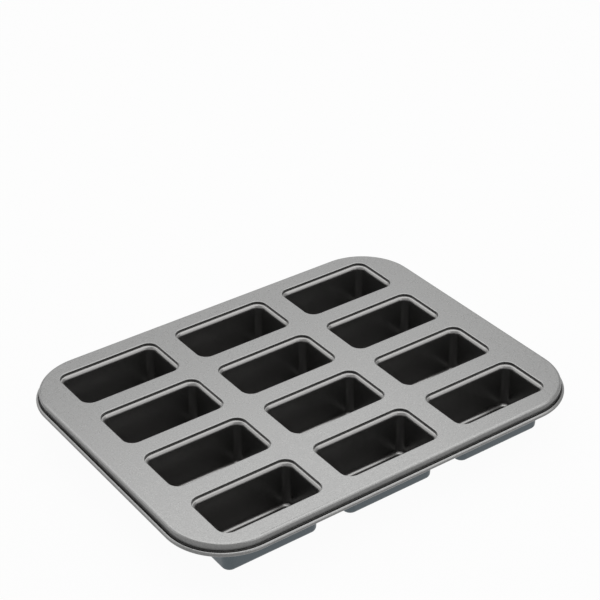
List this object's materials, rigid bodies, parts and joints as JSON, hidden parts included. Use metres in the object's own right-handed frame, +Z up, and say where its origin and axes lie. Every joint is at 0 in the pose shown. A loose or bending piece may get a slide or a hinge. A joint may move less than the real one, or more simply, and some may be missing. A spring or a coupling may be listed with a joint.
{
  "type": "mini loaf pan",
  "caption": "Rectangular grey non-stick baking pan with rows of small deep loaf wells, a rolled rim and loose bases that push up to free the loaves.",
  "frame": {"origin": "middle of the footprint, on the surface that the cups stand on", "axes": "+X along the long side, +Y along the short side towards the back, +Z up out of the wells"},
  "size_m": [0.3528, 0.273, 0.0389],
  "materials": {
    "deck_coating": "semi-gloss grey non-stick coating with a fine grain",
    "cup_coating": "semi-gloss grey non-stick coating with a fine grain inside, and a lighter blue-grey coat outside",
    "base_coating": "semi-gloss dark grey non-stick coating with a fine grain",
    "wire_steel": "dark drawn steel with some of the grey coating on it"
  },
  "bodies": {
    "pan": {"deck_frame": "deck_coating", "rim_wire": "wire_steel", "cup_r1c1": "cup_coating", "cup_r1c2": "cup_coating", "cup_r1c3": "cup_coating", "cup_r2c1": "cup_coating", "cup_r2c2": "cup_coating", "cup_r2c3": "cup_coating", "cup_r3c1": "cup_coating", "cup_r3c2": "cup_coating", "cup_r3c3": "cup_coating", "cup_r4c1": "cup_coating", "cup_r4c2": "cup_coating", "cup_r4c3": "cup_coating"},
    "loose_base_r1c1": {"base_r1c1": "base_coating"},
    "loose_base_r1c2": {"base_r1c2": "base_coating"},
    "loose_base_r1c3": {"base_r1c3": "base_coating"},
    "loose_base_r2c1": {"base_r2c1": "base_coating"},
    "loose_base_r2c2": {"base_r2c2": "base_coating"},
    "loose_base_r2c3": {"base_r2c3": "base_coating"},
    "loose_base_r3c1": {"base_r3c1": "base_coating"},
    "loose_base_r3c2": {"base_r3c2": "base_coating"},
    "loose_base_r3c3": {"base_r3c3": "base_coating"},
    "loose_base_r4c1": {"base_r4c1": "base_coating"},
    "loose_base_r4c2": {"base_r4c2": "base_coating"},
    "loose_base_r4c3": {"base_r4c3": "base_coating"}
  },
  "joints": [
    {"name": "lift_r1c1", "type": "slide", "parent": "pan", "child": "loose_base_r1c1", "axis": [0, 0, 1], "range_m": [0, 0.045]},
    {"name": "lift_r1c2", "type": "slide", "parent": "pan", "child": "loose_base_r1c2", "axis": [0, 0, 1], "range_m": [0, 0.045]},
    {"name": "lift_r1c3", "type": "slide", "parent": "pan", "child": "loose_base_r1c3", "axis": [0, 0, 1], "range_m": [0, 0.045]},
    {"name": "lift_r2c1", "type": "slide", "parent": "pan", "child": "loose_base_r2c1", "axis": [0, 0, 1], "range_m": [0, 0.045]},
    {"name": "lift_r2c2", "type": "slide", "parent": "pan", "child": "loose_base_r2c2", "axis": [0, 0, 1], "range_m": [0, 0.045]},
    {"name": "lift_r2c3", "type": "slide", "parent": "pan", "child": "loose_base_r2c3", "axis": [0, 0, 1], "range_m": [0, 0.045]},
    {"name": "lift_r3c1", "type": "slide", "parent": "pan", "child": "loose_base_r3c1", "axis": [0, 0, 1], "range_m": [0, 0.045]},
    {"name": "lift_r3c2", "type": "slide", "parent": "pan", "child": "loose_base_r3c2", "axis": [0, 0, 1], "range_m": [0, 0.045]},
    {"name": "lift_r3c3", "type": "slide", "parent": "pan", "child": "loose_base_r3c3", "axis": [0, 0, 1], "range_m": [0, 0.045]},
    {"name": "lift_r4c1", "type": "slide", "parent": "pan", "child": "loose_base_r4c1", "axis": [0, 0, 1], "range_m": [0, 0.045]},
    {"name": "lift_r4c2", "type": "slide", "parent": "pan", "child": "loose_base_r4c2", "axis": [0, 0, 1], "range_m": [0, 0.045]},
    {"name": "lift_r4c3", "type": "slide", "parent": "pan", "child": "loose_base_r4c3", "axis": [0, 0, 1], "range_m": [0, 0.045]}
  ]
}
